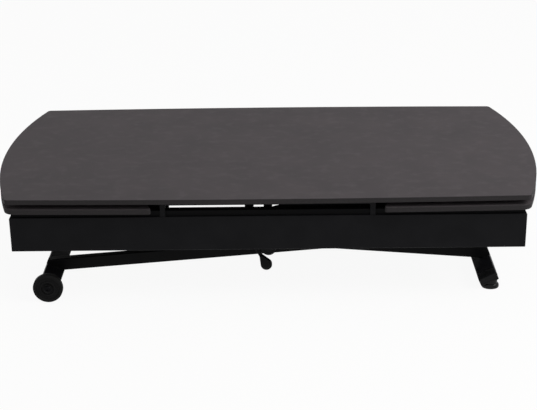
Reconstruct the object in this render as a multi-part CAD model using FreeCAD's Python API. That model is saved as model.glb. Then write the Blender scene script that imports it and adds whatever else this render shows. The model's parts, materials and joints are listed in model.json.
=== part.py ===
import FreeCAD, Part
import math
import os

V = FreeCAD.Vector
X_AXIS = V(1, 0, 0)
Y_AXIS = V(0, 1, 0)
Z_AXIS = V(0, 0, 1)
ORIGIN = V(0, 0, 0)

# Lift-and-extend coffee table, drawn lowered and closed.
# The origin is on the floor under the middle of the top.
# +X is the foot end, -X the wheel end, -Y the side that is looked at. All sizes are millimetres.

# Overall sizes
table_height = 266.0        # floor to the upper face of the top, lowered
lift = 494.0                # how far the top rises
top_length = 1300.0         # over the curved ends
top_depth = 670.0           # over the bowed long sides
end_rise = 54.0             # how far each curved end stands out from its corners
side_bow = 9.0              # how far each long side stands out from its corners
top_thickness = 12.0
top_corner_radius = 10.0
slab_edge_radius = 1.5      # eased upper and lower edges of top and leaves

# Leaves stored under the top
leaf_length = 330.0
leaf_thickness = 12.0
leaf_gap = 12.0             # between the top and the leaf below it
leaf_corner_radius = 26.0
leaf_inner_radius = 5.0     # rounding of the two points beside the hollow inner edge

# Apron frame
frame_end_inset = 58.0      # end of the top back to the frame
frame_side_inset = 23.0     # long side of the top back to the frame
apron_height = 84.0
apron_thickness = 20.0
apron_drop = 14.0           # from the underside of the leaf down to the frame
tube_wall = 2.0
tube_corner = 2.5
cross_tube_height = 25.0
centre_tube_width = 20.0
left_centre_tube_x = -44.0
right_centre_tube_x = 0.0
pivot_tube_width = 40.0

# Leaf slides
guide_width = 20.0
guide_lip = 2.5
guide_back = 4.0
guide_setback = 5.0         # apron's outer face back to the guide that lies on it
guide_top_gap = 1.0         # guide to the underside of the leaf
slide_gap = 0.3             # clearance of a runner in its guide
runner_side_gap = 0.5
runner_head_width = 17.5
runner_inner_x = 26.0
runner_end_inset = 7.0      # frame's end back to the runner
left_head_reach = 6.0       # head of a left runner past the bearer
guide_end_inset = 4.0
guide_joint_gap = 1.0       # between the guides of the two leaves

# Carriers of the top
bearer_gap = 20.0           # leaf's inner points to the bearer
bearer_width = 12.0
bearer_end_inset = 1.0      # frame's long side back to the bearer's end
bearer_hook_gap = 0.3       # guide to the end of the bearer that hooks over it
bearer_notch = 2.5          # room over a runner that passes under a bearer
top_rail_y = 150.0
top_rail_width = 30.0
top_rail_height = 10.0
top_rail_length = 1100.0
rail_side_gap = 0.5

# Scissor
pivot_inset = 75.0          # frame's end back to the upper pivot, and on the other side to the wheel
pivot_rise = 1.4            # upper pivot above the underside of the frame
centre_rise = 8.0           # centre pivot above the line from upper pivot to wheel
arm_height = 30.0
arm_width = 20.0
arm_overhang = 22.0         # tube past its upper pivot
cap_thickness = 3.0         # plastic cap outside the open end of an arm
cap_depth = 10.0            # the same cap inside the arm
cap_edge_radius = 2.0
arm_toe = 30.0              # tube past the wheel or foot centre, before its slanting cut
wheel_arm_y = 202.0
foot_arm_y = 150.0
bolt_radius = 6.0
bolt_fit = 0.08             # running clearance on a radius
bolt_head_radius = 11.0
bolt_head_height = 5.0
centre_head_radius = 18.5   # broad head of the centre bolts, outside the wheel arms
face_gap = 0.3              # between flat faces that turn past each other
arm_tube_radius = 12.5
arm_tube_reach = 70.0       # upper pivot to the tube that ties the wheel arms

# Floor bars, wheels and feet
bar_width = 45.0
bar_height = 25.0
bar_tilt = 25.0             # lowered; the bars come nearly level when the table is up
wheel_radius = 35.0
wheel_width = 15.0
wheel_inset = 2.0           # frame's long side back to the wheel's face
wheel_bar_gap = 5.0         # wheel to the end of its bar
tyre_corner = 2.5
web_recess = 2.0
web_inner_radius = 13.0
web_outer_radius = 27.0
hub_rise = 1.5
axle_radius = 5.0
axle_fit = 0.1
axle_shoulder_radius = 8.5
axle_head_radius = 9.0
axle_head_height = 3.0
axle_dome = 0.6             # fall of the head's crown half way out
plug_depth = 24.0
foot_inset = 49.0           # frame's long side back to the foot's face
shoe_length = 34.0
shoe_edge_radius = 4.0
shoe_pin_radius = 6.0
shoe_pin_depth = 26.0       # pin inside the foot
shoe_pin_fit = 0.08

# Rollers and their tracks
roller_radius = 12.0
roller_width = 10.0
roller_axle_radius = 4.0
roller_gap = 0.3            # roller to the track, above and below
track_wall = 2.5
track_width = 17.0
track_spare = 44.2          # track past the roller's travel, to the middle of its cross tube
roller_offset = 3.0         # foot arm to roller
roller_edge_radius = 1.0

# Gas spring
spring_drop = 13.0          # upper eye below its cross tube
spring_reach = 218.0        # upper pivot back to the upper eye
lug_reach = 105.0           # upper pivot to the lug's eye, along the arm
lug_floor = 63.4            # lug's eye above the floor, measured square to the level arm
lug_thickness = 4.0
lug_eye_radius = 12.0
lug_hub_radius = 19.0
spring_pin_radius = 4.0
spring_pin_fit = 0.06
pin_head_radius = 7.0
pin_head_height = 3.0
eye_clearance = 3.0         # room at the lower eye, where the linkage is left open
eye_radius = 12.5
eye_half_width = 6.0
cylinder_radius = 11.0
cylinder_wall = 2.0
cylinder_stop = 31.0        # end of the pressure tube to the lower eye
cylinder_chamfer = 1.0
stem_radius = 5.0           # round stem between the pressure tube and its eye
rod_radius = 5.0
rod_fit = 0.1
gland_length = 12.0
head_radius = 10.0
head_half_width = 7.0
head_neck_radius = 6.0
head_length = 24.0          # upper eye to the end of the rod's head
piston_length = 12.0
rod_gap = 6.0               # rod's head to the cylinder's mouth, lowered
fork_gap = 0.5              # fork plate to what it holds
fork_plate = 4.0
bracket_edge = 12.0         # metal round a pivot hole

# Release lever and its cable
lever_x = -24.0
lever_setback = 24.0        # apron's inner face back to the lever
lever_drop = 18.0           # frame's upper face down to the lever's pin
lever_strap_width = 10.0
lever_strap_thickness = 4.0
lever_pin_radius = 3.0
neck_drop = 10.0            # underside of the frame down to where the strap leans over to the grip
grip_x = -5.0
grip_drop = 57.0            # underside of the frame down to the middle of the grip
grip_radius = 13.5          # round lower end
grip_neck_radius = 6.0      # round upper end
grip_length = 22.0          # between the middles of the two rounds
grip_thickness = 14.0
grip_edge_radius = 5.0
cable_radius = 3.0
ferrule_radius = 4.5
ferrule_length = 14.0
cable_bend = 90.0
cable_run = 118.0           # lever back to the cable's run along the frame
ferrule_gap = 0.8

# Levels and points that follow from the sizes above
top_under = table_height - top_thickness
leaf_top = top_under - leaf_gap
leaf_under = leaf_top - leaf_thickness
frame_top = leaf_under - apron_drop
frame_under = frame_top - apron_height
guide_top = leaf_under - guide_top_gap
frame_length = top_length - 2 * frame_end_inset
frame_depth = top_depth - 2 * frame_side_inset
half_frame = frame_length / 2
half_frame_depth = frame_depth / 2
inner_y = half_frame_depth - apron_thickness
inner_x = half_frame - apron_thickness
corner_x = top_length / 2 - end_rise
corner_y = top_depth / 2 - side_bow
end_radius = (corner_y ** 2 + end_rise ** 2) / (2 * end_rise)
guide_y = half_frame_depth - guide_setback - guide_width / 2
runner_outer_x = half_frame - runner_end_inset
bearer_x = corner_x - leaf_length - bearer_gap - bearer_width / 2
left_head_x = bearer_x - bearer_width / 2 - left_head_reach
guide_joint_x = (left_centre_tube_x + right_centre_tube_x) / 2
bearer_length = frame_depth - 2 * bearer_end_inset
pivot_x = half_frame - pivot_inset
pivot_z = frame_under + pivot_rise
centre_pivot_z = (pivot_z + wheel_radius) / 2 + centre_rise
wheel_face_y = half_frame_depth - wheel_inset
wheel_bar_length = 2 * (wheel_face_y - wheel_width - wheel_bar_gap)
foot_face_y = half_frame_depth - foot_inset
spring_tube_x = pivot_x - spring_reach
spring_z = frame_top - cross_tube_height - spring_drop
lug_drop = pivot_z - lug_floor
lever_pivot_y = -inner_y + lever_setback
lever_pivot_z = frame_top - lever_drop
lever_neck_z = frame_under - neck_drop
grip_z = frame_under - grip_drop
cable_middle_y = lever_pivot_y + cable_run
arm_angle = math.degrees(math.atan2(pivot_z - centre_pivot_z, pivot_x))
arm_length = 2 * math.hypot(pivot_x, pivot_z - centre_pivot_z)
fork_inner = arm_width / 2 + fork_gap
fork_outer = fork_inner + fork_plate
bearer_under = guide_top
foot_x = pivot_x + bar_height / 2 * math.sin(math.radians(bar_tilt))
foot_z = wheel_radius - bar_height / 2 * math.cos(math.radians(bar_tilt))
foot_bar_end = foot_face_y - shoe_length - face_gap
lift_reach = math.hypot(pivot_x + foot_x, pivot_z - foot_z)
lift_start = math.degrees(math.atan2(pivot_z - foot_z, pivot_x + foot_x))
lift_angle = math.degrees(math.asin((pivot_z - foot_z + lift) / lift_reach)) - lift_start
roller_travel = 2 * pivot_x - arm_length * math.cos(math.radians(arm_angle + lift_angle))
track_tube_x = -pivot_x + roller_travel + track_spare


def box(x0, x1, y0, y1, z0, z1):
    """Block between two corners."""
    return Part.makeBox(x1 - x0, y1 - y0, z1 - z0, V(x0, y0, z0))


def rod(start, end, radius):
    """Round bar from one point to another."""
    return Part.makeCylinder(radius, (end - start).Length, start, end - start)


def turned(profile, centre):
    """Solid of revolution about a Y axis through centre; profile lists (radius, y)."""
    points = [V(centre.x + r, centre.y + y, centre.z) for r, y in profile]
    face = Part.Face(Part.makePolygon(points + points[:1]))
    return face.revolve(centre, Y_AXIS, 360)


def extruded(points, direction):
    """Prism on a closed polygon."""
    return Part.Face(Part.makePolygon(points + points[:1])).extrude(direction)


def edges_along(shape, axis):
    """Straight edges of a shape that run along an axis."""
    lines = [e for e in shape.Edges if isinstance(e.Curve, Part.Line)]
    return [e for e in lines if abs(e.Curve.Direction.dot(axis)) > 0.999]


def both_sides(shape):
    """The shape and its mirror image across the table's long middle plane."""
    return shape, shape.mirror(ORIGIN, Y_AXIS)


def tube(length, width, height):
    """Rolled rectangular tube along X, centred on the origin."""
    outer = box(-length / 2, length / 2, -width / 2, width / 2, -height / 2, height / 2)
    outer = outer.makeFillet(tube_corner, edges_along(outer, X_AXIS))
    half_w = width / 2 - tube_wall
    half_h = height / 2 - tube_wall
    return outer.cut(box(-length, length, -half_w, half_w, -half_h, half_h))


def cross_tube(x, width, top):
    """Tube from the front apron to the rear one."""
    shape = tube(2 * inner_y, width, cross_tube_height)
    shape.rotate(ORIGIN, Z_AXIS, 90)
    shape.translate(V(x, 0, top - cross_tube_height / 2))
    return shape


def slab_outline(corner_radius, thickness, under):
    """Barrel-shaped slab: curved ends, slightly bowed sides, rounded corners."""
    ends = [V(sx * corner_x, sy * corner_y, under) for sx, sy in ((-1, -1), (1, -1), (1, 1), (-1, 1))]
    middles = [V(0, -top_depth / 2, under), V(top_length / 2, 0, under),
               V(0, top_depth / 2, under), V(-top_length / 2, 0, under)]
    arcs = [Part.Arc(ends[i], middles[i], ends[(i + 1) % 4]).toShape() for i in range(4)]
    slab = Part.Face(Part.Wire(arcs)).extrude(V(0, 0, thickness))
    return slab.makeFillet(corner_radius, edges_along(slab, Z_AXIS))


def ease_edges(slab, under, thickness):
    """Round the upper and lower rims of a slab."""
    levels = (under, under + thickness)
    rims = [e for e in slab.Edges
            if any(abs(e.BoundBox.ZMin - z) + abs(e.BoundBox.ZMax - z) < 1e-3 for z in levels)]
    return slab.makeFillet(slab_edge_radius, rims)


def main_top():
    slab = slab_outline(top_corner_radius, top_thickness, top_under)
    return ease_edges(slab, top_under, top_thickness)


def left_leaf():
    """End leaf: the end of the top's own outline, hollowed inside to fit round that end when drawn out."""
    slab = slab_outline(leaf_corner_radius, leaf_thickness, leaf_under)
    hollow_x = -top_length / 2 + end_radius + leaf_length
    slab = slab.cut(Part.makeCylinder(end_radius, leaf_thickness, V(hollow_x, 0, leaf_under)))
    points = [e for e in edges_along(slab, Z_AXIS) if e.BoundBox.XMax > -corner_x + leaf_length / 2]
    slab = slab.makeFillet(leaf_inner_radius, points)
    return ease_edges(slab, leaf_under, leaf_thickness)


def apron(length, offset, turn):
    """One side of the frame: rectangular tube with mitred ends, its outer face offset from the middle."""
    rail = tube(length, apron_thickness, apron_height)
    rail.translate(V(0, apron_thickness / 2, frame_under + apron_height / 2))
    for side in (-1, 1):
        mitre = [V(side * length / 2, 0, frame_under),
                 V(side * length / 2, apron_thickness, frame_under),
                 V(side * (length / 2 - apron_thickness), apron_thickness, frame_under)]
        rail = rail.cut(extruded(mitre, V(0, 0, apron_height)))
    rail.translate(V(0, -offset, 0))
    rail.rotate(ORIGIN, Z_AXIS, turn)
    return rail


def lane(x0, x1, centre_y, side, outline):
    """Bar along X with a section given as (u, z); u runs from the guide's middle towards its runner."""
    points = [V(x0, centre_y + side * u, z) for u, z in outline]
    return extruded(points, V(x1 - x0, 0, 0))


def leaf_guide(x0, x1, centre_y, side):
    """Channel lying on the frame, open towards the runner that slides in it."""
    half = guide_width / 2
    inside = -half + guide_back
    low = frame_top + guide_lip
    high = guide_top - guide_lip
    outline = [(-half, frame_top), (half, frame_top), (half, low), (inside, low),
               (inside, high), (half, high), (half, guide_top), (-half, guide_top)]
    return lane(x0, x1, centre_y, side, outline)


def leaf_runner(tongue_x, head_x, centre_y, side):
    """Bar under a leaf: a tongue that slides in the guide and a head that carries the leaf."""
    half = guide_width / 2
    tongue = -half + guide_back + runner_side_gap
    head = half + runner_side_gap
    low = frame_top + guide_lip + slide_gap
    high = guide_top - guide_lip - slide_gap
    outer = head + runner_head_width
    clear = frame_top + slide_gap
    slider = [(tongue, low), (head, low), (head, high), (tongue, high)]
    carrier = [(head, clear), (outer, clear), (outer, leaf_under), (head, leaf_under)]
    bar = lane(tongue_x[0], tongue_x[1], centre_y, side, slider)
    return bar.fuse(lane(head_x[0], head_x[1], centre_y, side, carrier)).removeSplitter()


def top_bearer(x):
    """Flat bar on edge, hooked over the guides onto the frame, notched for runners below and rails above."""
    bar = box(x - bearer_width / 2, x + bearer_width / 2, -bearer_length / 2, bearer_length / 2,
              frame_top, top_under)
    hook = guide_y + guide_width / 2 + bearer_hook_gap
    bar = bar.cut(box(x - bearer_width, x + bearer_width, -hook, hook, frame_top, bearer_under))
    near = guide_y - guide_width / 2
    far = near - runner_head_width - 2 * runner_side_gap
    for sign in (-1, 1):
        lane_edges = sorted((sign * near, sign * far))
        bar = bar.cut(box(x - bearer_width, x + bearer_width, lane_edges[0], lane_edges[1],
                          bearer_under, leaf_under + bearer_notch))
        rail_edge = top_rail_width / 2 + rail_side_gap
        bar = bar.cut(box(x - bearer_width, x + bearer_width, sign * top_rail_y - rail_edge,
                          sign * top_rail_y + rail_edge, top_under - top_rail_height, top_under))
    return bar


def top_rail(side):
    """Flat bar under the top that stiffens it from end to end."""
    half = top_rail_width / 2
    middle = side * top_rail_y
    return box(-top_rail_length / 2, top_rail_length / 2, middle - half, middle + half,
               top_under - top_rail_height, top_under)


def bar_frame(shape, centre):
    """Tilt a shape as the foot bar is tilted, and set it at a bar's centre."""
    shape.rotate(ORIGIN, Y_AXIS, -bar_tilt)
    shape.translate(centre)
    return shape


def floor_bar(length, rise):
    """Floor bar at the foot end; rise is its middle above the line of wheel or foot centres."""
    bar = tube(length, bar_width, bar_height)
    bar.rotate(ORIGIN, Z_AXIS, 90)
    bar.translate(V(0, 0, rise))
    return bar_frame(bar, V(pivot_x, 0, wheel_radius))


def scissor_arm(y, bar_top):
    """Arm that falls towards +X, from its roller pivot to its seat on the tilted floor bar."""
    length = arm_overhang + arm_length + arm_toe
    arm = tube(length, arm_width, arm_height)
    arm.translate(V(length / 2 - arm_overhang, 0, 0))
    for reach in (0, arm_length / 2):
        arm = arm.cut(rod(V(reach, -arm_width, 0), V(reach, arm_width, 0), bolt_radius + bolt_fit))
    arm.rotate(ORIGIN, Y_AXIS, arm_angle)
    arm.translate(V(-pivot_x, y, pivot_z))
    below = box(-4 * bar_width, 4 * bar_width, -arm_width, arm_width, -4 * bar_width, bar_top)
    arm = arm.cut(bar_frame(below, V(pivot_x, y, wheel_radius)))
    beyond = box(bar_width / 2, 4 * bar_width, -arm_width, arm_width, -bar_width, 4 * bar_width)
    return arm.cut(bar_frame(beyond, V(pivot_x, y, wheel_radius)))


def arm_cap(side, y):
    """Plastic cap in the open upper end of an arm that falls towards +X."""
    end = -arm_overhang
    half_w = arm_width / 2
    half_h = arm_height / 2
    cap = box(end - cap_thickness, end, -half_w, half_w, -half_h, half_h)
    cap = cap.makeFillet(cap_edge_radius, edges_along(cap, X_AXIS))
    cap = cap.fuse(box(end, end + cap_depth, tube_wall - half_w, half_w - tube_wall,
                       tube_wall - half_h, half_h - tube_wall))
    cap.rotate(ORIGIN, Y_AXIS, arm_angle)
    cap.translate(V(-pivot_x, side * y, pivot_z))
    return cap


def wheel_arm_cap(side):
    return at_wheel_end(arm_cap(side, wheel_arm_y))


def foot_arm_cap(side):
    return arm_cap(side, foot_arm_y)


def at_wheel_end(shape):
    """The same piece at the wheel end of the table."""
    return shape.mirror(ORIGIN, X_AXIS)


def wheel_centre(side):
    return V(-pivot_x, side * wheel_face_y, wheel_radius)


def wheel(side):
    """Moulded wheel: rounded tread, dished web and raised hub on the outer face."""
    bore = axle_radius + axle_fit
    profile = [(bore, hub_rise), (web_inner_radius, hub_rise), (web_inner_radius + hub_rise, -web_recess),
               (web_outer_radius, -web_recess), (web_outer_radius + hub_rise, 0),
               (wheel_radius - tyre_corner, 0), (wheel_radius, -tyre_corner),
               (wheel_radius, -wheel_width + tyre_corner), (wheel_radius - tyre_corner, -wheel_width),
               (web_outer_radius, -wheel_width), (web_outer_radius, web_recess - wheel_width),
               (web_inner_radius, web_recess - wheel_width), (web_inner_radius, -wheel_width),
               (bore, -wheel_width)]
    return turned([(r, side * y) for r, y in profile], wheel_centre(side))


def wheel_axle(side):
    """Shoulder bolt: domed head outside, shoulder against the bar, shank in the bar's plug."""
    bar_end = wheel_bar_length / 2 - wheel_face_y
    head = hub_rise + face_gap
    dome = axle_head_radius / 2
    profile = [(0, head + axle_head_height), (dome, head + axle_head_height - axle_dome),
               (axle_head_radius, head), (axle_radius, head), (axle_radius, -wheel_width - face_gap),
               (axle_shoulder_radius, -wheel_width - face_gap), (axle_shoulder_radius, bar_end),
               (axle_radius, bar_end), (axle_radius, bar_end - plug_depth), (0, bar_end - plug_depth)]
    return turned([(r, side * y) for r, y in profile], wheel_centre(side))


def bar_plug(side, centre, hole):
    """Block in the end of a floor bar at the foot end, drilled for its pin; centre is on the end face."""
    half_w = bar_width / 2 - tube_wall
    half_h = bar_height / 2 - tube_wall
    plug = box(-half_w, half_w, -plug_depth, 0, -half_h, half_h)
    plug = plug.cut(rod(V(0, -plug_depth, 0), V(0, 0, 0), hole))
    if side < 0:
        plug = plug.mirror(ORIGIN, Y_AXIS)
    return bar_frame(plug, centre)


def wheel_bar_plug(side):
    """Plug that holds a wheel's axle."""
    end = V(pivot_x, side * wheel_bar_length / 2, wheel_radius)
    return at_wheel_end(bar_plug(side, end, axle_radius))


def foot_bar_plug(side):
    """Plug that holds a foot's pin."""
    return bar_plug(side, V(foot_x, side * foot_bar_end, foot_z), shoe_pin_radius)


def foot_pin(side):
    """Pin in the end of the foot bar, on which the foot turns while the arms swing."""
    start = V(foot_x, side * (foot_bar_end - plug_depth), foot_z)
    end = V(foot_x, side * (foot_face_y - shoe_length + shoe_pin_depth), foot_z)
    return rod(start, end, shoe_pin_radius)


def shoe():
    """Foot at the front end of the foot bar, round below about its pin."""
    half = bar_width / 2
    depth = math.sqrt(foot_z ** 2 - half ** 2)
    top = bar_height / 2
    corners = [V(half, 0, -depth), V(half, 0, top), V(-half, 0, top), V(-half, 0, -depth)]
    sides = [Part.makeLine(corners[i], corners[i + 1]) for i in range(3)]
    sole = Part.Arc(corners[3], V(0, 0, -foot_z), corners[0]).toShape()
    body = Part.Face(Part.Wire(sides + [sole])).extrude(V(0, shoe_length, 0))
    body = body.makeFillet(shoe_edge_radius, edges_along(body, Y_AXIS)[1:3])
    bottom = V(0, shoe_length - shoe_pin_depth - face_gap, 0)
    body = body.cut(rod(bottom, V(0, shoe_length, 0), shoe_pin_radius + shoe_pin_fit))
    return bar_frame(body, V(foot_x, -foot_face_y, foot_z))


def roller_face_y():
    return foot_arm_y + arm_width / 2 + roller_offset


def roller(side):
    """Plastic roller at the upper end of a foot arm."""
    bore = roller_axle_radius + axle_fit
    ease = roller_edge_radius
    profile = [(bore, 0), (roller_radius - ease, 0), (roller_radius, ease),
               (roller_radius, roller_width - ease), (roller_radius - ease, roller_width),
               (bore, roller_width)]
    centre = V(-pivot_x, side * roller_face_y(), pivot_z)
    return turned([(r, side * y) for r, y in profile], centre)


def roller_axle(side):
    """Stepped pin through the end of a foot arm: head inside, collar, then the roller's journal."""
    inner = -roller_offset - arm_width
    shank = bolt_radius
    head = shank + roller_edge_radius * 2
    tip = roller_width + roller_gap
    profile = [(0, inner - roller_offset), (head, inner - roller_offset), (head, inner), (shank, inner),
               (shank, -face_gap), (roller_axle_radius, -face_gap), (roller_axle_radius, tip), (0, tip)]
    centre = V(-pivot_x, side * roller_face_y(), pivot_z)
    return turned([(r, side * y) for r, y in profile], centre)


def roller_track():
    """Channel along the frame at the front, open towards the foot arm."""
    high = pivot_z + roller_radius + roller_gap
    low = pivot_z - roller_radius - roller_gap
    mouth = -roller_face_y() + roller_offset / 2
    back = mouth - track_width
    outline = [(mouth, high + track_wall), (back, high + track_wall), (back, low - track_wall),
               (mouth, low - track_wall), (mouth, low), (back + track_wall, low),
               (back + track_wall, high), (mouth, high)]
    x1 = track_tube_x + centre_tube_width / 2
    return extruded([V(-inner_x, y, z) for y, z in outline], V(x1 + inner_x, 0, 0))


def fork_bracket(pivot, inside, outside, top, web, hole):
    """Upside-down U that hangs from a cross tube and holds a pin along Y between two plates."""
    edge = bracket_edge
    blank = box(pivot.x - edge, pivot.x + edge, pivot.y - outside, pivot.y + outside, pivot.z, top)
    blank = blank.fuse(rod(pivot - Y_AXIS * outside, pivot + Y_AXIS * outside, edge)).removeSplitter()
    slot = box(pivot.x - 2 * edge, pivot.x + 2 * edge, pivot.y - inside, pivot.y + inside,
               pivot.z - 2 * edge, top - web)
    blank = blank.cut(slot)
    return blank.cut(rod(pivot - Y_AXIS * 2 * outside, pivot + Y_AXIS * 2 * outside, hole))


def bolt(start, end, radius, heads, head_height):
    """Pin between two flat faces with a head outside each of them; heads are the radii at start and end."""
    axis = (end - start).normalize()
    pin = rod(start - axis * head_height, end + axis * head_height, radius)
    pin = pin.fuse(rod(start - axis * head_height, start, heads[0]))
    return pin.fuse(rod(end, end + axis * head_height, heads[1]))


def upper_pivot(side):
    return V(pivot_x, side * wheel_arm_y, pivot_z)


def pivot_bracket(side):
    """Fork that carries the upper end of a wheel arm."""
    top = pivot_z + arm_overhang + arm_height / 2
    return fork_bracket(upper_pivot(side), fork_inner, fork_outer, top, fork_plate, bolt_radius)


def pivot_bolt(side):
    reach = Y_AXIS * fork_outer
    heads = (bolt_head_radius, bolt_head_radius)
    return bolt(upper_pivot(side) - reach, upper_pivot(side) + reach, bolt_radius, heads, bolt_head_height)


def centre_bolt(side):
    """Bolt through both arms where they cross."""
    outer = V(0, side * (wheel_arm_y + arm_width / 2), centre_pivot_z)
    inner = V(0, side * (foot_arm_y - arm_width / 2 - face_gap), centre_pivot_z)
    return bolt(outer, inner, bolt_radius, (centre_head_radius, bolt_head_radius), bolt_head_height)


def centre_spacer(side):
    """Sleeve that keeps the two arms apart at their crossing."""
    start = V(0, side * (wheel_arm_y - arm_width / 2), centre_pivot_z)
    end = V(0, side * (foot_arm_y + arm_width / 2 + face_gap), centre_pivot_z)
    return rod(start, end, bolt_head_radius).cut(rod(start, end, bolt_radius))


def wheel_arm_point(reach, drop):
    """Point beside a wheel arm: reach down from the upper pivot, drop below the arm's middle line."""
    a = math.radians(arm_angle)
    along = V(-math.cos(a), 0, -math.sin(a))
    below = V(math.sin(a), 0, -math.cos(a))
    return V(pivot_x, 0, pivot_z) + along * reach + below * drop


def wheel_arm_tube():
    """Round tube that ties the two wheel arms below their upper pivots."""
    middle = wheel_arm_point(arm_tube_reach, 0)
    half = Y_AXIS * (wheel_arm_y - arm_width / 2)
    outer = rod(middle - half, middle + half, arm_tube_radius)
    return outer.cut(rod(middle - half, middle + half, arm_tube_radius - tube_wall))


def lug_plate(side):
    """Tapered plate welded on the wheel arms' tube, with the lower eye of the gas spring in its end."""
    hub = wheel_arm_point(arm_tube_reach, 0)
    eye = wheel_arm_point(lug_reach, lug_drop)
    near = side * (eye_half_width + fork_gap)
    step = V(0, side * lug_thickness, 0)
    across = (eye - hub).cross(Y_AXIS).normalize()
    start = V(0, near, 0)
    corners = [hub + across * lug_hub_radius, eye + across * lug_eye_radius,
               eye - across * lug_eye_radius, hub - across * lug_hub_radius]
    plate = extruded([c + start for c in corners], step)
    plate = plate.fuse(rod(hub + start, hub + start + step, lug_hub_radius))
    plate = plate.fuse(rod(eye + start, eye + start + step, lug_eye_radius)).removeSplitter()
    plate = plate.cut(rod(hub + start, hub + start + step, arm_tube_radius))
    return plate.cut(rod(eye + start, eye + start + step, spring_pin_radius))


def lug_pin():
    eye = wheel_arm_point(lug_reach, lug_drop)
    reach = Y_AXIS * (eye_half_width + fork_gap + lug_thickness)
    heads = (pin_head_radius, pin_head_radius)
    return bolt(eye - reach, eye + reach, spring_pin_radius, heads, pin_head_height)


def spring_axis():
    """Upper eye, lower eye and the unit direction from one to the other."""
    upper = V(spring_tube_x, 0, spring_z)
    lower = wheel_arm_point(lug_reach, lug_drop)
    return upper, lower, (lower - upper).normalize()


def along_spring(profile):
    """Solid turned about the spring's axis; profile lists (radius, distance from the upper eye)."""
    upper, lower, axis = spring_axis()
    across = axis.cross(Y_AXIS).normalize()
    points = [upper + across * r + axis * d for r, d in profile]
    face = Part.Face(Part.makePolygon(points + points[:1]))
    return face.revolve(upper, axis, 360)


def spring_rod():
    """Piston rod with its release head at the upper eye and its piston inside the cylinder."""
    upper, lower, axis = spring_axis()
    bore = cylinder_radius - cylinder_wall - rod_fit
    piston_end = (lower - upper).Length - cylinder_stop - rod_gap
    piston_start = piston_end - piston_length
    shaft = along_spring([(0, 0), (head_neck_radius, 0), (head_neck_radius, head_length),
                          (rod_radius, head_length), (rod_radius, piston_start), (bore, piston_start),
                          (bore, piston_end), (0, piston_end)])
    half = Y_AXIS * head_half_width
    shaft = shaft.fuse(rod(upper - half, upper + half, head_radius)).removeSplitter()
    return shaft.cut(rod(upper - half * 2, upper + half * 2, spring_pin_radius + spring_pin_fit))


def spring_cylinder():
    """Pressure tube of the gas spring: gland at the mouth, closed foot with the lower eye."""
    upper, lower, axis = spring_axis()
    closed = (lower - upper).Length
    mouth = head_length + rod_gap
    foot = closed - cylinder_stop
    inside = foot - cylinder_wall
    bore = cylinder_radius - cylinder_wall
    ease = cylinder_chamfer
    body = along_spring([(rod_radius + rod_fit, mouth), (cylinder_radius - ease, mouth),
                         (cylinder_radius, mouth + ease), (cylinder_radius, foot - ease),
                         (cylinder_radius - ease, foot), (stem_radius, foot),
                         (stem_radius, closed - eye_radius / 2), (0, closed - eye_radius / 2),
                         (0, inside), (bore, inside), (bore, mouth + gland_length),
                         (rod_radius + rod_fit, mouth + gland_length)])
    half = Y_AXIS * eye_half_width
    body = body.fuse(rod(lower - half, lower + half, eye_radius)).removeSplitter()
    hole = spring_pin_radius + eye_clearance
    return body.cut(rod(lower - half * 3, lower + half * 3, hole))


def spring_bracket():
    upper = V(spring_tube_x, 0, spring_z)
    inside = head_half_width + fork_gap
    top = frame_top - cross_tube_height
    return fork_bracket(upper, inside, inside + fork_plate, top, 0, spring_pin_radius)


def spring_pin():
    half = Y_AXIS * (head_half_width + fork_gap + fork_plate)
    upper = V(spring_tube_x, 0, spring_z)
    return rod(upper - half, upper + half, spring_pin_radius)


def lever_pivot():
    return V(lever_x, lever_pivot_y, lever_pivot_z)


def lever_bracket():
    """Fork on the inner face of the front apron, with the lever's pin along X."""
    pivot = lever_pivot()
    inside = lever_strap_width / 2 + fork_gap
    outside = inside + fork_plate
    edge = bracket_edge
    blank = box(pivot.x - outside, pivot.x + outside, -inner_y, pivot.y, pivot.z - edge, pivot.z + edge)
    blank = blank.fuse(rod(pivot - X_AXIS * outside, pivot + X_AXIS * outside, edge)).removeSplitter()
    slot = box(pivot.x - inside, pivot.x + inside, -inner_y + fork_plate, pivot.y + 2 * edge,
               pivot.z - 2 * edge, pivot.z + 2 * edge)
    hole = rod(pivot - X_AXIS * 2 * outside, pivot + X_AXIS * 2 * outside, lever_pin_radius)
    return blank.cut(slot).cut(hole)


def lever_pin():
    half = X_AXIS * (lever_strap_width / 2 + fork_gap + fork_plate)
    return rod(lever_pivot() - half, lever_pivot() + half, lever_pin_radius)


def release_lever():
    """Flat strap that hangs from its pin and leans aside below the apron, towards the grip."""
    pivot = lever_pivot()
    half = lever_strap_width / 2
    start = lever_pivot_y - lever_strap_thickness / 2
    top = lever_pivot_z + half
    outline = [(lever_x - half, top), (lever_x - half, lever_neck_z), (grip_x - half, grip_z),
               (grip_x + half, grip_z), (lever_x + half, lever_neck_z), (lever_x + half, top)]
    strap = extruded([V(x, start, z) for x, z in outline], V(0, lever_strap_thickness, 0))
    eye = rod(pivot - X_AXIS * half, pivot + X_AXIS * half, 2 * lever_pin_radius)
    strap = strap.fuse(eye).removeSplitter()
    hole = lever_pin_radius + spring_pin_fit
    return strap.cut(rod(pivot - X_AXIS * 2 * half, pivot + X_AXIS * 2 * half, hole))


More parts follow.
